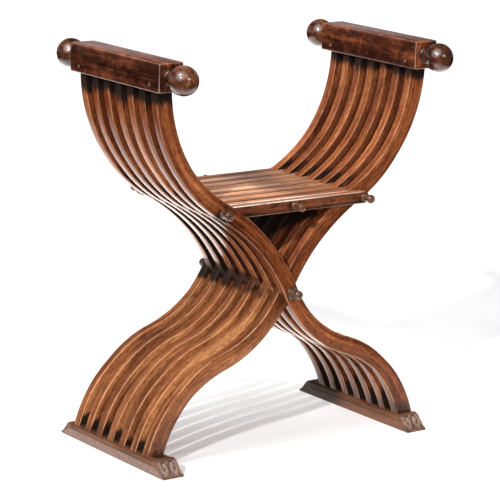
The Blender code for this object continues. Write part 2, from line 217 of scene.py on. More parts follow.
def set_surface(material, colour, roughness, bump, distance, coat=None, **fixed):
    """Wires a finish into the material's Principled shader. What doesn't vary is set on its sockets."""
    tree = material.node_tree
    shader = tree.nodes["Principled BSDF"]
    height = {"Height": bump, "Distance": distance, "Strength": 1}
    normal = bump.node("Bump", None, height)
    tree.links.new(colour.socket, shader.inputs["Base Color"])
    tree.links.new(roughness.socket, shader.inputs["Roughness"])
    tree.links.new(normal.socket, shader.inputs["Normal"])
    if coat:
        tree.links.new(coat.socket, shader.inputs["Coat Weight"])
    for name, value in fixed.items():
        shader.inputs[name.replace("_", " ")].default_value = value
    print("finish:", material.name, "with", len(tree.nodes), "nodes")


print("finishes can be started")

# %% [markdown]
# ## The floor
# The stool stands on a white studio floor that runs out of sight, so one large plane is enough. The floor
# adds white of its own to camera and mirror rays. To camera rays it glows more away from the stool, which
# paints the stool's shadow fainter further out, and a little less far off. It then shows as white paper.
# To mirror rays near the stool it glows far brighter than white paper, which paints pale reflections as
# streaks on the polished undersides, without more light on the wood. The streaks come from the paper near
# the stool only; further out the paper is dark in reflections.

# %% Floor
FLOOR_REACH = 30
FLOOR_WHITE = 0.85
PAPER_MIDDLE = (0.15, 0.5, 0)
NEAR_FADE = (0.7, 1.5)
SHADOW_START = (-0.1, -0.25, 0)
SHADOW_FADE = (0.22, 0.6)
FAR_FADE = (0.8, 1.2)
FLOOR_GLOW = 0.11
SHADOW_LIFTING_GLOW = 0.47
FAR_LOSS = 0.22
MIRROR_GLOW = 2.7
CAMERA_WHITE = (1, 1, 1)
MIRROR_WHITE = (1, 0.92, 0.87)


def ray(start, kind):
    """1 for the rays of one kind, such as Camera or Glossy, and 0 for the others."""
    return start.node("LightPath", out=f"Is {kind} Ray")


bpy.ops.object.select_all(action="DESELECT")
bpy.ops.mesh.primitive_plane_add(size=FLOOR_REACH)
floor = bpy.context.object
floor.name = "floor"
paper, start, place = new_finish("white paper")
paper.node_tree.nodes.remove(paper.node_tree.nodes["Principled BSDF"])
near = 1 - place.vector_math("DISTANCE", PAPER_MIDDLE, "Value").step(*NEAR_FADE)
mirror_ray = ray(start, "Glossy").at_least(ray(start, "Transmission"))
white = FLOOR_WHITE * (1 - mirror_ray * (1 - near))
matt = start.node("BsdfDiffuse", None, {"Color": white})
from_shadow = place.vector_math("DISTANCE", SHADOW_START, "Value")
faded = from_shadow.step(*SHADOW_FADE)
far = from_shadow.step(*FAR_FADE)
# Painted light: the glow for camera rays rises away from the stool, which lightens its shadow, and drops
# a little far off.
camera_glow = ray(start, "Camera") * (FLOOR_GLOW + faded * SHADOW_LIFTING_GLOW - far * FAR_LOSS)
glow_colour = mirror_ray.tint(CAMERA_WHITE, MIRROR_WHITE)
# Painted reflection: near the stool the paper glows for mirror rays far brighter than white paper.
glow_strength = camera_glow + mirror_ray * near * MIRROR_GLOW
glow = start.node("Emission", None, {"Color": glow_colour, "Strength": glow_strength})
both = start.node("AddShader", None, {0: matt, 1: glow})
paper.node_tree.links.new(both.socket, paper.node_tree.nodes["Material Output"].inputs["Surface"])
floor.data.materials.append(paper)
print("floor", FLOOR_REACH, "m wide")

# %% [markdown]
# ## The light
# A low key light from the left throws the slats' shadows across the floor as stripes. It is a sun, so
# that the stripes stay parallel. Two area lamps lift the front and the arms, and a white room fills
# the rest. What the wood mirrors is set apart from what lights it: a dim room, a pale wall low down
# behind the stool, and a softbox over the left shoulder.

# %% Light
KEY_FROM = (-0.72, -0.42, 0.52)
KEY_STRENGTH = 2.4
KEY_WIDTH = 2.2
LAMP_TARGET = (0, 0, 0.45)
LAMPS = {
    "fill": {"place": (0.3, -3.2, 1.9), "size": 0.9, "power": 30},
    "side": {"place": (-2.0, -0.6, 2.9), "size": 0.7, "power": 36},
}
ROOM_STRENGTH = 0.46
MIRRORED_ROOM = 0.08
MIRRORED_WALL = 0.5
WALL_TOP = (0.12, 0.45)
WALL_SIDE = (-0.3, 0.3)
SOFTBOX_FROM = (-0.65, -0.26, 0.71)
SOFTBOX_EDGE = (0.70, 0.98)
SOFTBOX_STRENGTH = 5.5


def aim(lamp, place, target):
    lamp.location = place
    lamp.rotation_euler = (Vector(target) - Vector(place)).to_track_quat("-Z", "Y").to_euler()


bpy.ops.object.light_add(type="SUN")
key = bpy.context.object
key.name = "key"
aim(key, KEY_FROM, (0, 0, 0))
key.data.energy = KEY_STRENGTH
key.data.angle = math.radians(KEY_WIDTH)
for name, sizes in LAMPS.items():
    bpy.ops.object.light_add(type="AREA")
    lamp = bpy.context.object
    lamp.name = name
    aim(lamp, sizes["place"], LAMP_TARGET)
    lamp.data.size = sizes["size"]
    lamp.data.energy = sizes["power"]

room = bpy.data.worlds.new("white room")
room.use_nodes = True
bpy.context.scene.world = room
start = Wire(room.node_tree)
towards = start.node("TexCoord", out="Generated")
low_down = 1 - towards.part(2).step(*WALL_TOP)
behind = towards.part(1).step(*WALL_SIDE)
softbox = towards.vector_math("DOT_PRODUCT", SOFTBOX_FROM, "Value").step(*SOFTBOX_EDGE)
mirrored = MIRRORED_ROOM + low_down * behind * MIRRORED_WALL + softbox * SOFTBOX_STRENGTH
lit = ROOM_STRENGTH + ray(start, "Glossy") * (mirrored - ROOM_STRENGTH)
strength = lit + ray(start, "Camera") * (1 - lit)
sky = room.node_tree.nodes["Background"]
room.node_tree.links.new(strength.socket, sky.inputs["Strength"])
sky.inputs["Color"].default_value = (1, 1, 1, 1)
print("lights: key,", ", ".join(LAMPS), "and a white room")

# %% [markdown]
# ## Walnut
# Old walnut is streaked along the grain in browns from almost black to orange, with short dark pores.
# One function builds that from a vector whose first part runs along the grain: each noise is stretched
# far along it and little across. Every wooden piece uses it with its own four shades, from dark to
# pale, and adds its own grime and wear on top.

# %% Walnut
STREAK_SCALE = (5.5, 170, 170)
BAND_SCALE = (4.5, 30, 30)
FLECK_SCALE = (24, 330, 330)
PORE_SCALE = (90, 640, 640)
TONE_PLACES = (0.30, 0.44, 0.55, 0.70)


def walnut(along, shades):
    """The colour, and a height for bump, of walnut whose grain runs along the vector's first part."""
    streaks = along.grain(STREAK_SCALE, 6, 0.62, 0.5)
    bands = along.grain(BAND_SCALE, 3, 0.5, 0.6)
    flecks = along.grain(FLECK_SCALE, 3, 0.7).step(0.58, 0.72)
    pores = along.grain(PORE_SCALE, 2).step(0.5, 0.7)
    colour = (streaks * 0.55 + bands * 0.45).ramp(TONE_PLACES, shades)
    colour = (flecks * 0.45).tint(colour, shades[0])
    colour = (pores * 0.65).tint(colour, shades[0])
    return colour, streaks - pores * 0.6 - flecks * 0.3


def walnut_along_depth(place, shades, scale=(1, 1, 1)):
    """Walnut whose grain runs from front to back, as in the arms, rods and runners."""
    turn = {"Vector": place, "Rotation": (0, 0, math.pi / 2), "Scale": scale}
    return walnut(place.node("Mapping", None, turn), shades)


print("a streak of walnut is about", round(1000 / STREAK_SCALE[1], 1), "mm wide")

# %% [markdown]
# ## The S of a slat
# A slat runs up from the runner, leans over the pivot to the seat and rises again to the arm. Its
# middle line is four arcs that meet smoothly, and it is wider at the foot and at the arm than at its
# waist. A joiner saws it out of a plank. Here its line is worked out as a function of the distance
# along it, so that a straight plank can be bent to it.

# %% Slat sizes
SLATS_PER_SET = 7
LAYERS = 2 * SLATS_PER_SET
SLAT_LOW, SLAT_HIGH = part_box("left_slat_1")
SLAT_THICKNESS = SLAT_HIGH.y - SLAT_LOW.y
PITCH = (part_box("left_slat_7")[0].y - SLAT_LOW.y) / (LAYERS - 2)
PIVOT = (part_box("pivot_rod")[0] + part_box("pivot_rod")[1]) / 2
FOOT_RUN = 0.0098
ARM_RUN = 0.0043
HIDDEN_RUN = 0.008
SLAT_ARCS = (
    {"radius": 0.2225, "lean": (19, 71.5), "width": (0.0335, 0.024)},
    {"radius": 0.224, "lean": (71.5, 26.4), "width": (0.024, 0.0295)},
    {"radius": 0.384, "lean": (26.4, 60.2), "width": (0.0295, 0.0255)},
    {"radius": 0.261, "lean": (60.2, 2.5), "width": (0.0255, 0.0325)},
)


def ease(value):
    """A smooth rise from 0 to 1, and level outside."""
    share = min(1, max(0, value))
    return share * share * (3 - 2 * share)


def run_of(arc):
    return arc["radius"] * math.radians(abs(arc["lean"][1] - arc["lean"][0]))


def slat_line(distance):
    """The middle line at a distance from the foot's hidden end: x, z, lean in radians and width."""
    first, last = SLAT_ARCS[0], SLAT_ARCS[-1]
    lean = math.radians(first["lean"][0])
    left = distance - HIDDEN_RUN
    straight = min(left, FOOT_RUN)
    x = straight * math.sin(lean)
    z = straight * math.cos(lean)
    width = first["width"][0]
    left -= FOOT_RUN
    for arc in SLAT_ARCS:
        if left <= 0:
            return x, z, lean, width
        share = min(1, left / run_of(arc))
        start_lean, end_lean = (math.radians(value) for value in arc["lean"])
        lean = start_lean + (end_lean - start_lean) * share
        turn = math.copysign(arc["radius"], end_lean - start_lean)
        x += turn * (math.cos(start_lean) - math.cos(lean))
        z += turn * (math.sin(lean) - math.sin(start_lean))
        low, high = arc["width"]
        width = low + (high - low) * ease(share)
        left -= run_of(arc)
    if left > 0:
        x += left * math.sin(lean)
        z += left * math.cos(lean)
        width = last["width"][1]
    return x, z, lean, width


SLAT_LENGTH = FOOT_RUN + ARM_RUN + 2 * HIDDEN_RUN + sum(run_of(arc) for arc in SLAT_ARCS)
PIVOT_DISTANCE = HIDDEN_RUN + FOOT_RUN + run_of(SLAT_ARCS[0]) + run_of(SLAT_ARCS[1])
PIVOT_X, PIVOT_RISE, PIVOT_LEAN, PIVOT_WIDTH = slat_line(PIVOT_DISTANCE)
print(f"a slat is {SLAT_LENGTH:.3f} m long and {SLAT_THICKNESS * 1000:.1f} mm thick")
print(f"the layers lie {PITCH * 1000:.2f} mm apart")

# %% [markdown]
# ## Helpers for modelling
# Slats, arms and runners start as a block, and an operator acts on whatever is selected. By hand one
# would click the edges. A script has no mouse, so these helpers add a block between two corners and
# select the edges of a mesh by their place or direction.

# %% Helpers


def pick_edges(test):
    """In edit mode, selects the edges that pass a test."""
    bpy.ops.mesh.select_mode(type="EDGE")
    bpy.ops.mesh.select_all(action="DESELECT")
    mesh = bmesh.from_edit_mesh(bpy.context.object.data)
    for edge in mesh.edges:
        edge.select_set(test(edge))
    bmesh.update_edit_mesh(bpy.context.object.data)


def runs_along(axis):
    """A test for edges that lie along one axis."""
    return lambda edge: abs((edge.verts[0].co - edge.verts[1].co).normalized()[axis]) > 0.99


def block(name, low, high):
    """A cube primitive, sized and placed between two corners."""
    bpy.ops.object.select_all(action="DESELECT")
    bpy.ops.mesh.primitive_cube_add(size=1, location=(low + high) / 2)
    made = bpy.context.object
    made.name = name
    made.scale = high - low
    bpy.ops.object.transform_apply(location=True, rotation=False, scale=True)
    return made


print("blocks and edges can be made and picked")

# %% [markdown]
# ## A straight plank
# All fourteen slats are alike, so one straight plank is modelled and copied. It starts as a cube, its
# long arrises are bevelled as hands have rubbed them, and it is cut many times along its length so
# that it can bend. Bending it the way the slats go turns it inside out, so its faces are flipped first.

# %% Straight plank
BASE_WIDTH = 0.028
ARRIS = 0.0016
SLAT_CUTS = 150

plank_half = Vector((SLAT_LENGTH, SLAT_THICKNESS, BASE_WIDTH)) / 2
plank = block("plank", -plank_half, plank_half)
bpy.ops.object.mode_set(mode="EDIT")
pick_edges(runs_along(0))
bpy.ops.mesh.bevel(offset=ARRIS, segments=3, affect="EDGES")
pick_edges(runs_along(0))
bpy.ops.mesh.subdivide(number_cuts=SLAT_CUTS)
bpy.ops.mesh.select_all(action="SELECT")
bpy.ops.mesh.flip_normals()
bpy.ops.object.mode_set(mode="OBJECT")
print("plank:", len(plank.data.vertices), "points")

# %% [markdown]
# ## The slats' finish
# The wood is a warm red-brown with a wax polish. It is sooty where the slats go into the arms and the
# runners, sooty and painted with shade where the two sets slide past each other, and rubbed pale along
# the arrises. The hidden sides get painted light, and painted shade deeper in the gaps between the slats.
# The grain has to follow the bend, so it reads the place on the straight plank, which is stored on the
# points. Soot and shade, arrises, painted light and polish are stored there too, and the finish only
# gives them ragged borders.

# %% Slat finish
SLAT_SHADES = ((0.030, 0.008, 0.004), (0.17, 0.045, 0.018), (0.32, 0.095, 0.037), (0.53, 0.20, 0.080))
SOOT_AND_SHADE = (0.011, 0.008, 0.007)
RUBBED = (0.62, 0.36, 0.20)
SUNNED = (0.94, 1.05, 1.08)
AGED_AND_SHADED = (0.5, 0.42, 0.36)
PAINTED_LIGHT_TINT = (2.3, 2.7, 2.6)
DARK_PATCH = (0.38, 0.30, 0.27)
LIGHT_PATCH = (1.45, 1.6, 1.4)
SPECK = (0.36, 0.28, 0.26)
GAP_PAINTED_SHADE = (0.22, 0.16, 0.14)
PATCH_SCALE = (22, 60, 60)
SPECK_SCALE = (150, 420, 420)
RAGGED_SCALE = (34, 240, 240)
SLAT_WEAR_SCALE = (40, 40, 40)
GAP_DEPTH = 0.0115
GAP_FADE = 0.004
SLAT_BUMP = 0.00001

slat_walnut, start, place = new_finish("slat walnut")
along_plank = attribute(start, "plank", "Vector")
colour, height = walnut(along_plank, SLAT_SHADES)
below_pivot = 1 - place.part(2).step(PIVOT.z - 0.04, PIVOT.z + 0.06)
on_left = 1 - place.part(0).step(-0.03, 0.04)
patches = along_plank.grain(PATCH_SCALE, 5, 0.7, 0.8)
specks = along_plank.grain(SPECK_SCALE, 3, 0.7)
# Painted shade: a hidden side is darkened across the part that lies deeper in the gap between the slats.
gap = attribute(start, "gap")
gap_start = GAP_DEPTH - BASE_WIDTH / 2
deep = (along_plank.part(2) * gap).step(gap_start, gap_start + GAP_FADE)
colour = colour.stained(
    (below_pivot * on_left, SUNNED),
    (attribute(start, "tone"), AGED_AND_SHADED),
    (attribute(start, "fresh"), PAINTED_LIGHT_TINT),
    ((1 - patches.step(0.36, 0.52)) * 0.5, DARK_PATCH),
    (patches.step(0.55, 0.7) * 0.5, LIGHT_PATCH),
    (specks.step(0.52, 0.68) * 0.6, SPECK),
    (start.math("ABSOLUTE", gap) * deep * 0.92, GAP_PAINTED_SHADE),
)
worn = place.grain(SLAT_WEAR_SCALE, 3)
rub_and_highlight = attribute(start, "arris") * worn.step(0.25, 0.58) * 0.75
colour = rub_and_highlight.tint(colour, RUBBED)
ragged = along_plank.grain(RAGGED_SCALE, 5, 0.7)
# Soot and painted shade get ragged borders from noise.
soot = (attribute(start, "soot") * 2.4 - ragged * 3.0 + 0.5).step(-0.2, 0.8)
colour = (soot * 0.96).tint(colour, SOOT_AND_SHADE)
gloss = 0.12 + worn * 0.12 + soot * 0.2
polish = attribute(start, "polish") * (1 - soot)
set_surface(slat_walnut, colour, gloss, height, SLAT_BUMP, polish, IOR=1.2, Coat_Roughness=0.12)

# %% [markdown]
# ## Where soot and shade gather
# Soot and old wax gather where nobody can wipe: under the arms and over the runners. In the crotch of the
# two sets there is soot and painted shade, darker in the back layers. Round the seat the darkening is
# painted shade: the seat's shadow on the slats under it, and darker hidden sides beside it and just above
# it. The front slat also has painted shade round its front knob. Painting it by hand would have to be
# done fourteen times, so a function gives the soot and shade at any place on a slat, and the largest
# cause wins. Sides that face another slat are hidden, and hold more of it, which adds painted shade in
# the gaps.

# %% Soot
RIGHT = 1
LEFT = -1
SOOT_AT_ARM = {RIGHT: 0.051, LEFT: 0.060}
ARM_SOOT_SHARE = {RIGHT: 0.88, LEFT: 1}
SOOT_AT_FOOT = {RIGHT: 0.036, LEFT: 0.072}
OPEN_FOOT_SHARE = {RIGHT: 0.5, LEFT: 0.62}
OPEN_REACH = 0.8
SOOT_AND_SHADE_AT_CROTCH = 0.021
SHADE_AT_KNOB = 0.014
SHADE_BESIDE_SEAT = 0.12
SHADE_ON_SEAT = 0.045
SEAT_SHADE_SLOPE = 0.62
SEAT_SHADE_START = 0.012
SEAT_SHADE_FADE = 0.025
SEAT_SHADE_SHARE = 0.85
RUNNER_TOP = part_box("left_runner")[1].z
ARM_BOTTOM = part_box("left_arm")[0].z
STACK_FRONT = SLAT_LOW.y
CROTCH = PIVOT_WIDTH / 2 / math.cos(PIVOT_LEAN)
SEAT_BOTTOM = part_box("left_seat_board_1")[0].z
SEAT_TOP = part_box("left_seat_board_1")[1].z
LEFT_ROD = sum(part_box("left_seat_rod"), Vector()) / 2


def seat_shade(place, side, depth, hidden, facing_seat):
    """Painted shade under, beside and just above the seat. Under it, this is the seat's shadow from the
    front lamp.
    """
    drop = SEAT_BOTTOM - place.z
    # Painted shadow: a slat is dark where the seat lies between it and the front lamp.
    shade_reach = (place.y - STACK_FRONT) * SEAT_SHADE_SLOPE + SEAT_SHADE_START
    under = ease((shade_reach - drop) / SEAT_SHADE_FADE) * ease(drop / 0.02)
    beside = ease((SEAT_BOTTOM + SHADE_BESIDE_SEAT - place.z) / 0.10) * ease((place.z - PIVOT.z) / 0.03)
    over = place.z - SEAT_TOP
    on_seat = ease(1 - over / SHADE_ON_SEAT) * ease(over / 0.01 + 2)
    found = [SEAT_SHADE_SHARE * under if hidden or facing_seat else 0]
    if hidden and side == LEFT:
        found.append((0.42 + 0.5 * depth) * beside)
    if hidden and side == RIGHT:
        found.append(SEAT_SHADE_SHARE * on_seat)
    return max(found)


def slat_soot_and_shade(place, side, layer, hidden, facing_seat):
    """Soot and painted shade: how dark a slat is at a place."""
    depth = (layer - 1) / (LAYERS - 1)
    chance = 0.95 + 0.6 * noise.noise((layer * 2.3, 1.7, 0.4))
    reach = chance if hidden else OPEN_REACH * chance
    under_arm = ease(1.05 - (ARM_BOTTOM - place.z) / (SOOT_AT_ARM[side] * reach))
    over_foot = ease(1.1 - (place.z - RUNNER_TOP) / (SOOT_AT_FOOT[side] * reach))
    to_crotch = math.hypot(abs(place.x) - CROTCH, place.z - PIVOT.z)
    to_knob = math.hypot(place.x - LEFT_ROD.x, place.z - LEFT_ROD.z)
    return max(
        under_arm * ARM_SOOT_SHARE[side],
        over_foot * (1 if hidden else OPEN_FOOT_SHARE[side]),
        (0.42 + 0.5 * depth) * ease(1.7 - to_crotch / SOOT_AND_SHADE_AT_CROTCH),
        seat_shade(place, side, depth, hidden, facing_seat),
        # Painted shade round the left seat rod's front knob, on the front slat only.
        0.85 * ease(1.8 - to_knob / SHADE_AT_KNOB) if layer == 1 else 0,
    )


in_crotch = slat_soot_and_shade(Vector((CROTCH, 0, PIVOT.z)), RIGHT, LAYERS, True, False)
print("soot in the crotch of the last layer:", round(in_crotch, 2))

# %% [markdown]
# ## Wear, painted light and painted shade on the slats
# The hidden sides of the right set get painted light, its legs most of all, which stands in for the light
# that reaches into the gaps, and the open faces get a little of it. Away from the legs, the hidden sides
# also get painted shade away from their arrises. The arrises of the legs are rubbed palest, and the
# undersides between pivot and seat keep their polish and mirror the white floor. Hands have darkened the
# tops, and each slat came out of another plank, so each has its own tone. All this goes by place, so it
# is worked out point by point, and needs no painted picture.

# %% Wear
EDGE_MARGIN = ARRIS / 20
POLISH = 0.7
HIDDEN_SHADE_DEPTH = 0.012
OUTER_LAYERS = (1, 2, LAYERS - 1, LAYERS)


def layer_y(layer):
    """The middle of a layer of the stack, from 1 in front to 14 at the back."""
    return (layer - (LAYERS + 1) / 2) * PITCH


def slat_tone(place, flat, side, layer, faces, by_seat, leg_share):
    """How much darker than plain wood a slat is at a place, with painted shade in the hidden gaps."""
    tone = 0.35 + 0.5 * noise.noise((layer * 1.37, 5.1, 2.2))
    tone += ease((place.z - SEAT_TOP - 0.02) / 0.14) * (0.2 if side == RIGHT else 0.5)
    # Painted shade: a hidden side darkens away from its arrises, more so beside the seat, and not on the
    # legs.
    if faces["hidden"]:
        from_arris = min(BASE_WIDTH / 2 - abs(flat.z), HIDDEN_SHADE_DEPTH) / HIDDEN_SHADE_DEPTH
        tone += (0.5 + 0.5 * by_seat) * ease(from_arris) * (1 - leg_share)
    if side == RIGHT:
        tone += 0.35 * ease((RUNNER_TOP + 0.14 - place.z) / 0.10) * (layer / LAYERS)
    if side == LEFT and faces["leg"] and faces["edge"] and flat.z > 0:
        tone += 0.7
    stains = [0.35 if layer == 1 and faces["leg"] else 0]
    if faces["outer"] and faces["side"]:
        stains.append((0.75 if layer == 1 else 0.4) * ease(1.5 - abs(place.z - PIVOT.z - 0.06) / 0.10))
        stains.append(0.4 * ease((place.z - SEAT_BOTTOM) / 0.04) if layer == 2 else 0)
    return tone + max(stains)


def slat_wear(place, flat, side, layer):
    """What the finish reads at one point of a slat, from its place and its place on the plank."""
    on_side = abs(flat.y) > SLAT_THICKNESS / 2 - EDGE_MARGIN
    on_edge = abs(flat.z) > BASE_WIDTH / 2 - EDGE_MARGIN
    outer = side * flat.y * layer_y(layer) > 0 and layer in OUTER_LAYERS
    hidden = on_side and not outer
    is_leg = place.z < PIVOT.z
    faces = {"side": on_side, "edge": on_edge, "outer": outer, "hidden": hidden, "leg": is_leg}
    leg_share = ease((PIVOT.z + 0.09 - place.z) / 0.12)
    by_seat = ease((place.z - SEAT_TOP) / 0.02) * ease((SEAT_TOP + 0.15 - place.z) / 0.06)
    by_seat = by_seat if side == RIGHT else 0
    # Painted light: the hidden sides of the right set are lightened, its legs most, in place of the light
    # that reaches into the gaps; open faces a little.
    painted_light_share = (1 if is_leg else 0.3) if side == RIGHT else 0
    above_crossing = ease((place.z - PIVOT.z) / 0.03) * ease((SEAT_TOP - place.z) / 0.06)
    underside = flat.z > 0 and not on_side
    facing_seat = flat.z < 0 and not on_side
    return {
        "soot": slat_soot_and_shade(place, side, layer, hidden, facing_seat),
        "fresh": painted_light_share * (1 - by_seat) if hidden else 0.3 + 0.25 * by_seat * on_edge,
        "gap": side if hidden else 0,
        "polish": POLISH * above_crossing * (layer / LAYERS) ** 2 if underside else 0,
        "arris": 0 if on_side or on_edge else 0.45 + 0.55 * leg_share,
        "tone": slat_tone(place, flat, side, layer, faces, by_seat, leg_share),
    }


print("polish on the undersides:", POLISH)

# %% [markdown]
# ## Putting a piece in place of its solid
# A finished piece rides on the body of its solid and hides it. It also carries numbers on its points,
# such as soot, which its finish reads. All the kinds of pieces need this, so it is one helper. Copies
# get meshes of their own, since each of them is shaped and marked alone.

# %% In place


def make_active(piece):
    """Selects one piece only, for the operators that follow."""
    bpy.ops.object.select_all(action="DESELECT")
    piece.select_set(True)
    bpy.context.view_layer.objects.active = piece


def own_copy(piece, name):
    """A copy with its own mesh, linked into the scene."""
    made = piece.copy()
    made.data = piece.data.copy()
    made.name = name
    bpy.context.scene.collection.objects.link(made)
    return made


def stand_for(piece, node, finish, slot, smooth_under, **marks):
    """Puts a finished piece in the place of a solid. Marks are numbers on its points for the finish."""
    for name, numbers in marks.items():
        layer = piece.data.attributes.new(name, "FLOAT", "POINT")
        layer.data.foreach_set("value", numbers)
    make_active(piece)
    bpy.ops.object.shade_smooth_by_angle(angle=math.radians(smooth_under))
    piece.data.materials.clear()
    piece.data.materials.append(finish)
    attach(piece, frame["nodes"][node]["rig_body"])
    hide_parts(node)


print("pieces can stand for", len(frame["nodes"]), "solids")

# %% [markdown]
# ## Bending the slats
# Each copy of the plank is bent by moving its points to the slat's line. Blender's bend tool needs a
# window, and a curve modifier would not keep the width that changes along the slat, so the points are
# moved by the line's own formula. Hand-sawn slats are uneven by half a millimetre, and so are these.
# The left set is the right one after half a turn.

# %% Bent slats
UNEVENNESS = 0.0005
GRAIN_PER_SLAT = 1.7
GRAIN_PER_SET = 0.4


def bend(flat, side, layer):
    """Where a point of the straight plank lies on a bent slat."""
    distance = flat.x + SLAT_LENGTH / 2
    x, z, lean, width = slat_line(distance)
    uneven = noise.noise((distance * 9, layer * 3.7, flat.z * 30)) * UNEVENNESS
    across = flat.z + math.copysign((width - BASE_WIDTH) / 2, flat.z) + uneven
    place_x = x - PIVOT_X + across * math.cos(lean)
    place_z = z - PIVOT_RISE - across * math.sin(lean)
    return Vector((side * place_x, layer_y(layer) + side * flat.y, PIVOT.z + place_z))


def bent_slat(node, side, layer, number):
    """One slat, bent from a copy of the plank."""
    piece = own_copy(plank, f"{node}_finished")
    points = piece.data.vertices
    straight = [point.co.copy() for point in points]
    wear = []
    for point, flat in zip(points, straight):
        point.co = bend(flat, side, layer)
        wear.append(slat_wear(point.co, flat, side, layer))
    grain_start = GRAIN_PER_SLAT * number + GRAIN_PER_SET * side
    on_plank = piece.data.attributes.new("plank", "FLOAT_VECTOR", "POINT")
    for item, flat in zip(on_plank.data, straight):
        item.vector = (flat.x + grain_start, flat.y, flat.z)
    marks = {name: [values[name] for values in wear] for name in wear[0]}
    stand_for(piece, node, slat_walnut, "slat_wood", 40, **marks)
    return piece


for hand, side, first_layer in (("right", RIGHT, 2), ("left", LEFT, 1)):
    for number in range(1, SLATS_PER_SET + 1):
        node = f"{hand}_slat_{number}"
        slat = bent_slat(node, side, first_layer + 2 * (number - 1), number)
bpy.data.objects.remove(plank, do_unlink=True)

# %% [markdown]
# ## The seat's finish
# The seat's left half is painted with light, less on every other board and on the front board, and the
# seat is dark and stained on its front board, whose lowest strip has painted shade. Every board differs a
# little in tone, so white noise over the board's number shades it. The sides between the boards get
# painted shade below their tops. Along the lines between the boards some boards get a dark painted shade
# and others a pale painted highlight, which fade to the right.

# %% Seat finish
SEAT_SHADES = ((0.05, 0.016, 0.008), (0.29, 0.108, 0.049), (0.51, 0.22, 0.106), (0.76, 0.42, 0.235))
SEAT_LINE_HIGHLIGHT = (1.0, 0.94, 0.88)
LEFT_HALF_PAINTED_LIGHT = (2.65, 2.78, 2.85)
BOARD_SHADE = (0.55, 0.45, 0.40)
BACK_EDGE_SHADE = (0.25, 0.20, 0.18)
BOARD_GAP_PAINTED_SHADE = (0.14, 0.09, 0.08)
FRONT_SHADE = (0.24, 0.165, 0.14)
LOW_FRONT_PAINTED_SHADE = (0.2, 0.16, 0.14)
LIGHT_STAIN = (1.55, 1.4, 1.3)
DARK_STAIN = (0.35, 0.32, 0.30)
LINE_PAINTED_SHADE = (0.05, 0.032, 0.028)
STAIN_SCALE = (28, 28, 60)
SEAT_WEAR_SCALE = (30, 30, 30)
SEAT_BUMP = 0.00012
STACK_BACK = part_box("right_slat_7")[1].y

seat_walnut, start, place = new_finish("seat walnut")
x, y, z = place.part(0), place.part(1), place.part(2)
colour, height = walnut(place, SEAT_SHADES)
board_number = start.math("FLOOR", y / PITCH)
board_tone = start.node("TexWhiteNoise", {"noise_dimensions": "1D"}, {"W": board_number})
left_half = x.step(LEFT_ROD.x, LEFT_ROD.x + 0.02) - x.step(-0.03, 0.05)
every_other = start.math("FLOORED_MODULO", board_number, 2)
first_board = 1 - y.step(STACK_FRONT + SLAT_THICKNESS, STACK_FRONT + PITCH)
# Painted light: the left half of the seat is lightened, less on every other board and on the front board.
painted_left_light = left_half * (1 - every_other * 0.55) * (1 - first_board * 0.75)
back_edge = y.step(STACK_BACK - 0.007, STACK_BACK - 0.003)
# Painted shade: the sides between the boards darken below their tops.
deep = (SEAT_TOP - z).step(0.0018, 0.006) * attribute(start, "side")
front = 1 - y.step(STACK_FRONT + 0.0002, STACK_FRONT + 0.0006)
# Painted shade: the lowest strip of the front board's face.
low_front = front * (1 - z.step(SEAT_BOTTOM + 0.004, SEAT_BOTTOM + 0.009))
stains = place.grain(STAIN_SCALE, 4, 0.6)
# Painted highlight and shade: where a board's line is above 0 its arris gets a pale painted highlight,
# and below 0 a dark painted shade.
line = attribute(start, "line")
fading = 1 - x.step(-0.02, 0.10) * 0.65
dirt_and_shade = (line * -1).at_least(0) * fading
colour = colour.stained(
    (board_tone * 0.5, BOARD_SHADE),
    (painted_left_light, LEFT_HALF_PAINTED_LIGHT),
    (back_edge * 0.8, BACK_EDGE_SHADE),
    (deep * (0.8 + left_half * 0.15), BOARD_GAP_PAINTED_SHADE),
    (front * 0.95, FRONT_SHADE),
    (low_front * 0.8, LOW_FRONT_PAINTED_SHADE),
    (front * stains.step(0.42, 0.6), LIGHT_STAIN),
    (front * (1 - stains.step(0.34, 0.5)), DARK_STAIN),
    (dirt_and_shade, LINE_PAINTED_SHADE),
)
worn = place.grain(SEAT_WEAR_SCALE, 4)
rub_and_highlight = line.at_least(0) * fading * worn.step(0.25, 0.5)
colour = rub_and_highlight.tint(colour, SEAT_LINE_HIGHLIGHT)
gloss = 0.3 + worn * 0.16 + dirt_and_shade * 0.5
set_surface(seat_walnut, colour, gloss, height, SEAT_BUMP, IOR=1.25)

# %% [markdown]
# ## The seat boards
# Each seat board is a thin plank on edge, hinged near one end. The solids already have the round hinge
# ends, the bores and the hooks, so each finished board is a copy whose loose triangles are merged. Its
# long arrises and its free end are then bevelled. A bevel over all its edges would be held back by the
# small facets of the bores. Two cuts let the line's colour stop short of the ends.

# %% Seat boards
BOARD_ARRIS = 0.0025
ROUND_END = 0.012
MERGE_WITHIN = 0.00001
SHARP = 0.3
# Per board from the front: above 0 a pale painted highlight along its line, below 0 a dark painted shade.
BOARD_LINES = (0.8, 1, -1, 0.2, -0.8, 0.4, -1, 0.9, -0.6, -1, 0.7, -1, 0.8, -1)


def merged_copy(node):
    """A copy of a solid with its triangles merged and its flat faces made whole."""
    piece = own_copy(frame["nodes"][node], f"{node}_finished")
    piece.parent = None
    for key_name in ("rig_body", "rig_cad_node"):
        del piece[key_name]
    make_active(piece)
    bpy.ops.object.mode_set(mode="EDIT")
    bpy.ops.mesh.select_all(action="SELECT")
    bpy.ops.mesh.remove_doubles(threshold=MERGE_WITHIN)
    bpy.ops.mesh.dissolve_limited(angle_limit=math.radians(1))
    bpy.ops.object.mode_set(mode="OBJECT")
    return piece


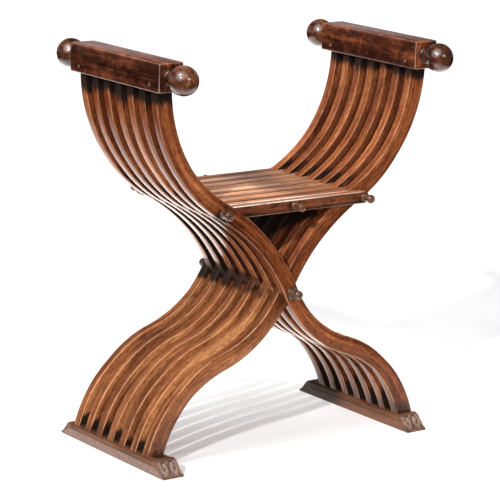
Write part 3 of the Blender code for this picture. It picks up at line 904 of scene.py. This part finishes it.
def round_board(low, high, side):
    """Cuts the active board near both ends and rounds its arrises."""
    free_end = low.x if side == RIGHT else high.x
    along_board, across_board = runs_along(0), runs_along(1)

    def is_arris(edge):
        place = edge.verts[0].co
        at_level = min(place.z - low.z, high.z - place.z) < MERGE_WITHIN
        at_free_end = across_board(edge) and side * place.x < 0
        return at_level and (along_board(edge) or at_free_end) and edge.calc_face_angle(0) > SHARP

    bpy.ops.object.mode_set(mode="EDIT")
    for cut in (side * (abs(LEFT_ROD.x) - ROUND_END), free_end + side * ROUND_END / 2):
        bpy.ops.mesh.select_all(action="SELECT")
        bpy.ops.mesh.bisect(plane_co=(cut, 0, 0), plane_no=(1, 0, 0))
    pick_edges(is_arris)
    bpy.ops.mesh.bevel(offset=BOARD_ARRIS, segments=3, affect="EDGES", clamp_overlap=False)
    bpy.ops.mesh.select_all(action="SELECT")
    bpy.ops.mesh.remove_doubles(threshold=MERGE_WITHIN)
    bpy.ops.object.mode_set(mode="OBJECT")


def board_marks(board, low, high):
    """The line of each point of a board, and 1 for the points on sides that face another board."""
    margin = BOARD_ARRIS / 20
    layer = round((low.y + high.y) / 2 / PITCH + (LAYERS + 1) / 2)
    lines, sides = [], []
    for vertex in board.data.vertices:
        place = vertex.co
        on_side = min(place.y - low.y, high.y - place.y) < margin
        on_top = min(place.z - low.z, high.z - place.z) < margin
        at_end = min(place.x - low.x, high.x - place.x) < ROUND_END / 3
        is_low = place.z < (low.z + high.z) / 2
        lines.append(0 if on_side or on_top or is_low or at_end else BOARD_LINES[layer - 1])
        sides.append(1 if on_side and place.y > STACK_FRONT + PITCH / 2 else 0)
    return {"line": lines, "side": sides}


for hand, side in (("right", RIGHT), ("left", LEFT)):
    for number in range(1, SLATS_PER_SET + 1):
        node = f"{hand}_seat_board_{number}"
        board = merged_copy(node)
        low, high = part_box(node)
        round_board(low, high, side)
        stand_for(board, node, seat_walnut, "seat_wood", 30, **board_marks(board, low, high))
print("seat boards:", 2 * SLATS_PER_SET, "with", len(board.data.polygons), "faces on the last")

# %% [markdown]
# ## The arms' finish
# The arm rails are dark from hands and polish, clouded, redder on top and rubbed pale along their edges.
# The balls are turned from the same wood and have the same clouds, but they are glossier and browner, and
# painted with light and shade: lighter where they face up towards the front left, darker elsewhere and on
# the collar, and darker on some balls than on others. So one function makes both finishes.

# %% Arm finish
ARM_SHADES = ((0.010, 0.004, 0.003), (0.042, 0.012, 0.006), (0.115, 0.033, 0.014), (0.27, 0.076, 0.030))
BALL_SHADES = ((0.028, 0.008, 0.004), (0.09, 0.028, 0.013), (0.21, 0.073, 0.035), (0.42, 0.175, 0.09))
ARM_RUBBED = (0.60, 0.45, 0.37)
NO_TINT = (1, 1, 1)
ARM_TOP_TINT = (2.0, 1.65, 1.45)
RIGHT_ARM_TINT = (1.75, 1.65, 1.5)
DARK_CLOUD = (0.30, 0.25, 0.25)
LIGHT_CLOUD = (1.7, 1.55, 1.4)
PAINTED_BALL_SHADE = (0.22, 0.20, 0.20)
CLOUD_SCALE = (36, 26, 36)
ARM_WEAR_SCALE = (35, 35, 35)
ARM_GRAIN_SCALE = (1.6, 0.45, 0.45)
ARM_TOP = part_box("left_arm")[1].z
ARM_BUMP = 0.00005


def arm_finish(name, shades, top_tint, right_tint, sheen, refraction):
    """Dark polished walnut with its grain along the arm."""
    made, start, place = new_finish(name)
    colour, height = walnut_along_depth(place, shades, ARM_GRAIN_SCALE)
    clouds = place.grain(CLOUD_SCALE, 5, 0.65, 0.8)
    on_top = place.part(2).step(ARM_TOP - 0.005, ARM_TOP - 0.001)
    on_right = place.part(0).step(-0.1, 0.1)
    # The last stain is painted shade, on the balls only.
    colour = colour.stained(
        (clouds.step(0.42, 0.60) * 0.75, DARK_CLOUD),
        ((1 - clouds.step(0.36, 0.48)) * 0.6, LIGHT_CLOUD),
        (on_right * (1 - on_top), right_tint),
        (on_top, top_tint),
        (1 - attribute(start, "handled"), PAINTED_BALL_SHADE),
    )
    worn = place.grain(ARM_WEAR_SCALE, 4)
    rub_and_highlight = attribute(start, "arris") * worn.step(0.22, 0.52) * 0.5
    colour = rub_and_highlight.tint(colour, ARM_RUBBED)
    set_surface(made, colour, sheen + worn * 0.12, height, ARM_BUMP, IOR=refraction)
    return made


arm_walnut = arm_finish("arm walnut", ARM_SHADES, ARM_TOP_TINT, RIGHT_ARM_TINT, 0.16, 1.2)
ball_walnut = arm_finish("ball walnut", BALL_SHADES, NO_TINT, NO_TINT, 0.08, 1.5)

# %% [markdown]
# ## The arm rails
# Each arm is a square rail with softened edges, so it is a cube with all its edges bevelled. The bevel
# has four steps, and only the middle row of its points is marked as rubbed, which keeps the pale line
# as thin as on the real arm.

# %% Arm rails
ARM_EDGE = 0.0035
TOP_EDGE_WEAR = 0.6

for hand in ("right", "left"):
    node = f"{hand}_arm"
    low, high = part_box(node)
    arm = block(f"{node}_finished", low, high)
    bpy.ops.object.mode_set(mode="EDIT")
    bpy.ops.mesh.select_all(action="SELECT")
    bpy.ops.mesh.bevel(offset=ARM_EDGE, segments=4, affect="EDGES")
    bpy.ops.object.mode_set(mode="OBJECT")
    margin = ARM_EDGE / 5
    arris = []
    for vertex in arm.data.vertices:
        gaps = [min(vertex.co[axis] - low[axis], high[axis] - vertex.co[axis]) for axis in range(3)]
        wear = TOP_EDGE_WEAR if vertex.co.z > (low.z + high.z) / 2 else 1
        arris.append(0 if min(gaps) < margin else wear)
    stand_for(arm, node, arm_walnut, "arm_wood", 40, arris=arris, handled=[1] * len(arris))
print("arm rails: 2 with", len(arm.data.polygons), "faces each")

# %% [markdown]
# ## The balls
# A ball on a collar sits at each end of an arm. They were turned on a lathe, and spin is Blender's
# lathe: half of the outline is drawn as a line of edges and spun round the arm's axis. The seam is
# then merged, and the normals are made to point outwards.

# %% Balls
BALL_STEPS = 56
BALL_PAINTED_LIGHT = {
    "left_ball_front": 1,
    "left_ball_back": 0.35,
    "right_ball_front": 0.45,
    "right_ball_back": 1,
}
PAINTED_LIGHT_FROM = Vector((-0.45, -0.35, 0.8)).normalized()
BALL_RADIUS = (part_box("left_ball_front")[1].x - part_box("left_ball_front")[0].x) / 2
COLLAR_RADIUS = 0.0165
COLLAR_LENGTH = 0.0045
NECK_RADIUS = 0.0125


def turned(name, profile, steps, place, outwards):
    """Spins a profile of (distance out, radius) round a line along Y through a place."""
    points = [(place.x + radius, place.y + outwards * along, place.z) for along, radius in profile]
    mesh = bpy.data.meshes.new(name)
    mesh.from_pydata(points, [(index, index + 1) for index in range(len(points) - 1)], [])
    made = bpy.data.objects.new(name, mesh)
    bpy.context.scene.collection.objects.link(made)
    make_active(made)
    bpy.ops.object.mode_set(mode="EDIT")
    bpy.ops.mesh.select_all(action="SELECT")
    bpy.ops.mesh.spin(steps=steps, angle=2 * math.pi, center=place, axis=(0, 1, 0))
    bpy.ops.mesh.select_all(action="SELECT")
    bpy.ops.mesh.remove_doubles(threshold=2 * MERGE_WITHIN)
    bpy.ops.mesh.normals_make_consistent(inside=False)
    bpy.ops.object.mode_set(mode="OBJECT")
    return made


def ball_profile(tip):
    """A collar that is let into the arm, a neck, and a ball that ends at a distance from the arm."""
    profile = [(-COLLAR_LENGTH, 0), (-COLLAR_LENGTH, COLLAR_RADIUS)]
    profile += [(COLLAR_LENGTH * 0.6, COLLAR_RADIUS), (COLLAR_LENGTH, COLLAR_RADIUS * 0.93)]
    profile += [(COLLAR_LENGTH * 1.15, NECK_RADIUS * 1.06)]
    neck = math.asin(NECK_RADIUS / BALL_RADIUS)
    rings = BALL_STEPS // 2
    for ring in range(rings + 1):
        angle = neck + (math.pi - neck) * ring / rings
        along = tip - BALL_RADIUS - BALL_RADIUS * math.cos(angle)
        profile.append((along, BALL_RADIUS * math.sin(angle)))
    return profile


for hand in ("right", "left"):
    for end, outwards in (("front", -1), ("back", 1)):
        node = f"{hand}_ball_{end}"
        low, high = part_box(node)
        arm_low, arm_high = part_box(f"{hand}_arm")
        arm_end = arm_low.y if outwards < 0 else arm_high.y
        tip = abs((low.y if outwards < 0 else high.y) - arm_end)
        centre = Vector(((low.x + high.x) / 2, arm_end, (low.z + high.z) / 2))
        ball = turned(f"{node}_finished", ball_profile(tip), BALL_STEPS, centre, outwards)
        # Painted light and shade: a ball is lighter where it faces up towards the front left, each ball
        # as much as its share says, and its collar is dark.
        handled = []
        for vertex in ball.data.vertices:
            on_ball = abs(vertex.co.y - arm_end) > COLLAR_LENGTH * 1.2
            facing_light = ease(0.45 + 0.6 * vertex.normal.dot(PAINTED_LIGHT_FROM))
            handled.append(BALL_PAINTED_LIGHT[node] * facing_light if on_ball else 0)
        stand_for(ball, node, ball_walnut, "arm_wood", 35, arris=[0] * len(handled), handled=handled)
print("balls: 4 of radius", round(BALL_RADIUS, 4))

# %% [markdown]
# ## The pegs
# Three pegs hold each arm on its slats. Only their ends show, as small discs of speckled end grain, so
# each is a copy of its solid with a fine bevel. The middle peg of each arm is as dark as the arm.

# %% Pegs
PEG_EDGE = 0.0004
PEG_SHADES = ((0.02, 0.012, 0.008), (0.05, 0.03, 0.02), (0.16, 0.10, 0.07), (0.45, 0.36, 0.30))
PEG_PLACES = (0.3, 0.42, 0.55, 0.7)
PEG_SPECKLE_SCALE = (900, 900, 900)
PEG_PALENESS = {1: 0.8, 2: 0, 3: 0.8}
DULL_PEG = (0.30, 0.13, 0.09)
PEG_BUMP = 0.0002


def bevel_arrises(piece, width, degrees):
    """Bevels the edges of the active piece that are sharper than an angle."""
    bevel = piece.modifiers.new("arrises", "BEVEL")
    bevel.width = width
    bevel.segments = 3
    bevel.limit_method = "ANGLE"
    bevel.angle_limit = math.radians(degrees)
    bpy.ops.object.modifier_apply(modifier=bevel.name)


peg_walnut, start, place = new_finish("peg end grain")
speckle = place.grain(PEG_SPECKLE_SCALE, 3)
colour = speckle.ramp(PEG_PLACES, PEG_SHADES).stained((1 - attribute(start, "pale"), DULL_PEG))
set_surface(peg_walnut, colour, 0.4 + speckle * 0.2, speckle, PEG_BUMP, IOR=1.3)
for hand in ("right", "left"):
    for number, paleness in PEG_PALENESS.items():
        node = f"{hand}_arm_peg_{number}"
        peg = merged_copy(node)
        bevel_arrises(peg, PEG_EDGE, 60)
        pale = [paleness] * len(peg.data.vertices)
        stand_for(peg, node, peg_walnut, "peg_wood", 40, pale=pale)
print("pegs:", 2 * len(PEG_PALENESS))

# %% [markdown]
# ## The rods' finish
# Four rods go through the stack of slats and boards from front to back. Their knobs are browner and
# duller than the slats, dirty in patches, and on some of them the wood is worn pale. How pale a knob
# is goes with its points, so that one finish does for all.

# %% Rod finish
ROD_SHADES = ((0.02, 0.008, 0.005), (0.075, 0.031, 0.018), (0.17, 0.078, 0.047), (0.36, 0.21, 0.14))
PALE_KNOB = (2.7, 2.2, 1.6)
KNOB_DIRT = (0.03, 0.018, 0.012)
ROD_WEAR_SCALE = (120, 120, 120)
ROD_BUMP = 0.0001

rod_walnut, start, place = new_finish("turned walnut")
colour, height = walnut_along_depth(place, ROD_SHADES)
worn = place.grain(ROD_WEAR_SCALE, 3)
pale = attribute(start, "pale")
colour = colour.stained((pale * 0.8, PALE_KNOB))
dirt_and_shade = worn.step(0.45, 0.65) * 0.6 + (1 - pale) * 0.35
colour = dirt_and_shade.tint(colour, KNOB_DIRT)
set_surface(rod_walnut, colour, 0.16 + worn * 0.2, height, ROD_BUMP, IOR=1.45)

# %% [markdown]
# ## The rods and their knobs
# The ends of the rods are turned knobs, each with a collar, a waist, a rounded head and a small dimple
# from the lathe. So a rod is spun like a ball, from one profile of rod and front knob. The back knobs
# are pieces of their own, because a rod could not be put in if both of its knobs were fixed.

# %% Rods
ROD_STEPS = 32
ROD_RADIUS = 0.0045
RODS = {
    "pivot_rod": {"knob": 0.0085, "collar": 0.011, "pale": 0.0},
    "left_seat_rod": {"knob": 0.009, "collar": 0.0082, "pale": 0.3},
    "centre_seat_rod": {"knob": 0.0075, "collar": 0.0082, "pale": 1.0},
    "right_seat_rod": {"knob": 0.008, "collar": 0.0082, "pale": 0.4},
}
KNOB_LENGTH = 0.0235
KNOB_COLLAR = 0.0035
COLLAR_ARRIS = 0.0006
DIMPLE_DEPTH = 0.0012
KNOB_HEAD = (
    (KNOB_COLLAR + 0.0004, 0.76),
    (0.0095, 0.7448),
    (0.0128, 0.798),
    (0.0158, 0.94),
    (0.0185, 1),
    (0.0208, 0.96),
    (0.0224, 0.85),
    (KNOB_LENGTH - 0.0002, 0.66),
    (KNOB_LENGTH, 0.6),
    (KNOB_LENGTH, 0.28),
    (KNOB_LENGTH - DIMPLE_DEPTH, 0.2),
    (KNOB_LENGTH - DIMPLE_DEPTH, 0),
)


def knob_profile(radius, collar):
    """A knob from its collar outwards. The head's radii are shares of its largest one."""
    profile = [(0, collar * 0.9), (COLLAR_ARRIS, collar)]
    profile += [(KNOB_COLLAR - COLLAR_ARRIS, collar), (KNOB_COLLAR, collar * 0.94)]
    return profile + [(along, radius * share) for along, share in KNOB_HEAD]


for node, sizes in RODS.items():
    low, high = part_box(node)
    knob_points = knob_profile(sizes["knob"], sizes["collar"])
    front = Vector(((low.x + high.x) / 2, STACK_FRONT, (low.z + high.z) / 2))
    tail = high.y - STACK_FRONT
    rod_points = [(-tail, 0), (-tail, ROD_RADIUS), (0, ROD_RADIUS)] + knob_points
    rod = turned(f"{node}_finished", rod_points, ROD_STEPS, front, -1)
    pale = [sizes["pale"] if point.co.y < STACK_FRONT else 0 for point in rod.data.vertices]
    stand_for(rod, node, rod_walnut, "rod_wood", 35, pale=pale)
    back = Vector((front.x, STACK_BACK, front.z))
    knob = turned(f"{node}_knob_finished", [(0, 0)] + knob_points, ROD_STEPS, back, 1)
    pale = [sizes["pale"]] * len(knob.data.vertices)
    stand_for(knob, f"{node}_knob", rod_walnut, "rod_wood", 35, pale=pale)
print("rods:", len(RODS), "and as many loose knobs")

# %% [markdown]
# ## The runners' finish
# The feet are duller than the rest. Their outer bands are grey with dust and scuffs, and the carved toes
# are bare and on the right still a little gilt. The carved grooves, the line at the moulding's step and
# the foot of the sides are darkened as painted shade, and the tops between the slats are black with soot
# and painted shade. Dust, ridges, recesses, and soot and shade come with the points.

# %% Runner finish
RUNNER_SHADES = ((0.03, 0.010, 0.005), (0.095, 0.034, 0.015), (0.19, 0.072, 0.031), (0.33, 0.145, 0.072))
DUST = (0.275, 0.18, 0.148)
DARK_DUST = (0.17, 0.105, 0.085)
BARE_CARVING = (0.38, 0.255, 0.205)
GILT_CARVING = (0.50, 0.32, 0.18)
CARVING_SPECK = (0.12, 0.07, 0.05)
RECESS = (0.022, 0.013, 0.009)
RUNNER_WEAR_SCALE = (45, 45, 45)
RUNNER_SPECK_SCALE = (230, 230, 230)
RUNNER_BUMP = 0.0002

runner_walnut, start, place = new_finish("runner walnut")
colour, height = walnut_along_depth(place, RUNNER_SHADES)
worn = place.grain(RUNNER_WEAR_SCALE, 4)
specks = place.grain(RUNNER_SPECK_SCALE, 3, 0.7)
dust = specks.step(0.35, 0.65).tint(DARK_DUST, DUST)
colour = (attribute(start, "dust") * (worn * 0.5 + 0.6)).tint(colour, dust)
gilt = place.part(0).step(-0.1, 0.1) * worn.step(0.45, 0.6)
carving = gilt.tint(BARE_CARVING, GILT_CARVING)
carving = (specks.step(0.4, 0.6) * 0.4).tint(carving, CARVING_SPECK)
colour = (attribute(start, "ridge") * 0.85).tint(colour, carving)
# Painted shade: the recess mark darkens the line at the step, the foot of the sides and the carved
# grooves.
colour = (attribute(start, "recess") * 0.8).tint(colour, RECESS)
colour = (attribute(start, "soot") * (worn * 0.5 + 0.7)).tint(colour, SOOT_AND_SHADE)
set_surface(runner_walnut, colour, 0.38 + worn * 0.2, height, RUNNER_BUMP, IOR=1.22)

# %% [markdown]
# ## The runners' moulding and carving
# Each runner is a foot rail with a flat side, a small step and a rounded top, drawn out into an ogee
# toe at each end. The front toes are carved with a pair of curled leaves. These functions give the
# moulding's inset at a height and the carving's depth on a toe. The leaves are one spiral groove,
# mirrored, inside a border.

# %% Runner moulding
STEP_HEIGHT = 0.0165
STEP_DEPTH = 0.0009
TOP_INSET = 0.0045
TOE_RUN = 0.028
TOE_NOSE = 0.004
TOE_BLOCK = 0.005
CARVE_DEPTH = 0.0026
BORDER_PLACE = 0.86
BORDER_WIDTH = 0.10
TIP_GROOVE = (0.15, 0.07)
SHOULDER_GROOVE = (0.93, 0.06)
CURL_MIDDLE = (0.42, 0.56)
CURL_TURNS = 17


def side_inset(height):
    """How far the runner's side steps in at a height above the floor."""
    if height < STEP_HEIGHT:
        return 0
    share = (height - STEP_HEIGHT) / (RUNNER_TOP - STEP_HEIGHT)
    return STEP_DEPTH + (TOP_INSET - STEP_DEPTH) * (1 - math.sqrt(max(0, 1 - share * share)))


def groove(distance, width):
    """1 in the middle of a groove, 0 outside it."""
    return 1 - ease(abs(distance) / width)


def leaf(across, along):
    """The carving of a front toe: 1 on the wood, 0 in a groove. Along goes from tip to shoulder."""
    grooves = [groove(abs(across) - BORDER_PLACE, BORDER_WIDTH)]
    grooves += [groove(along - middle, width) for middle, width in (TIP_GROOVE, SHOULDER_GROOVE)]
    if abs(across) < 0.82 and 0.18 < along < 0.9:
        from_middle = abs(across) - CURL_MIDDLE[0]
        from_centre = along - CURL_MIDDLE[1]
        reach = math.hypot(from_middle, from_centre)
        turn = math.atan2(from_centre, from_middle)
        grooves.append(0.9 * ease(0.2 - 1.3 * math.cos(turn - reach * CURL_TURNS)))
    return 1 - max(grooves)


print("the moulding steps in by", round(side_inset(RUNNER_TOP) * 1000, 2), "mm at the top")

# %% [markdown]
# ## The runners
# A block is cut into a fine grid, and its points are then moved to the moulding and the toes. With so
# fine a grid the carving is real geometry, which catches the light and stays in the mesh. Soot and
# painted shade mark the top of the runner between the feet of the slats, so they repeat at every second
# layer.

# %% Runners
RUNNER_GRID = (40, 300, 12)
MOULDING_FADE = 0.003
STEP_SHADOW = 0.0015
FLOOR_SHADOW = 0.001
SOOT_FROM_TOE = 0.006


def runner_soot_and_shade(place, across, from_tip, on_top, outwards, slat_layer):
    """Soot and painted shade on the top between the slats' feet, and darkening all over the back of the
    right runner.
    """
    phase = ((place.y - layer_y(slat_layer)) / (2 * PITCH)) % 1
    between = 1 - ease(abs(phase - 0.5) * 6 - 1)
    under = ease(2.2 - abs(across) * 2.4)
    reach = ease((from_tip - TOE_RUN - SOOT_FROM_TOE) / 0.01)
    blackened = 0.85 * ease((place.y - 0.02) / 0.04) if outwards > 0 else 0
    return max(blackened, between * under * reach if on_top else 0)


def shape_runner(node, slat_layer):
    """Moves the points of a gridded block to a runner's shape, and marks its dust, grooves and soot."""
    low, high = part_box(node)
    runner = block(f"{node}_finished", low, high)
    bpy.ops.object.mode_set(mode="EDIT")
    for axis, cuts in enumerate(RUNNER_GRID):
        pick_edges(runs_along(axis))
        bpy.ops.mesh.subdivide(number_cuts=cuts)
    bpy.ops.object.mode_set(mode="OBJECT")
    middle = (low + high) / 2
    half_width = (high.x - low.x) / 2
    outwards = 1 if middle.x > 0 else -1
    marks = {"dust": [], "recess": [], "ridge": [], "soot": []}
    for vertex in runner.data.vertices:
        across = (vertex.co.x - middle.x) / half_width
        from_tip = min(vertex.co.y - low.y, high.y - vertex.co.y)
        height = vertex.co.z
        toe = min(1, from_tip / TOE_RUN)
        on_top = height > high.z - 0.0001
        on_side = abs(across) > 0.999
        on_toe = vertex.co.y < middle.y and toe < 1 and on_top
        lift = TOE_NOSE / RUNNER_TOP + (1 - TOE_NOSE / RUNNER_TOP) * ease(toe)
        inset = side_inset(height) * ease((from_tip - TOE_RUN - TOE_BLOCK) / MOULDING_FADE)
        carved = 1 - leaf(across, toe) if on_toe else 0
        x = middle.x + across * (half_width - inset)
        vertex.co = (x, vertex.co.y, max(height * lift - carved * CARVE_DEPTH, 0))
        on_band = on_side and height < STEP_HEIGHT
        outer_band = on_band and across * outwards > 0
        lip = ease((0.45 - toe) / 0.2) if on_toe and outwards > 0 else 0
        in_step = on_side and abs(height - STEP_HEIGHT) < STEP_SHADOW
        at_floor = on_side and height < FLOOR_SHADOW
        marks["dust"].append(max(lip, 1 if outer_band else 0.25 if on_band else 0))
        # Painted shade at the step and along the floor, and in the carved grooves.
        marks["recess"].append(max(0.8 if in_step or at_floor else 0, carved))
        marks["ridge"].append(1 - lip if on_toe else 0)
        marks["soot"].append(runner_soot_and_shade(vertex.co, across, from_tip, on_top, outwards, slat_layer))
    stand_for(runner, node, runner_walnut, "runner_wood", 45, **marks)
    print(node, "has", len(runner.data.vertices), "points")


shape_runner("left_runner", 2)
shape_runner("right_runner", 1)

# %% [markdown]
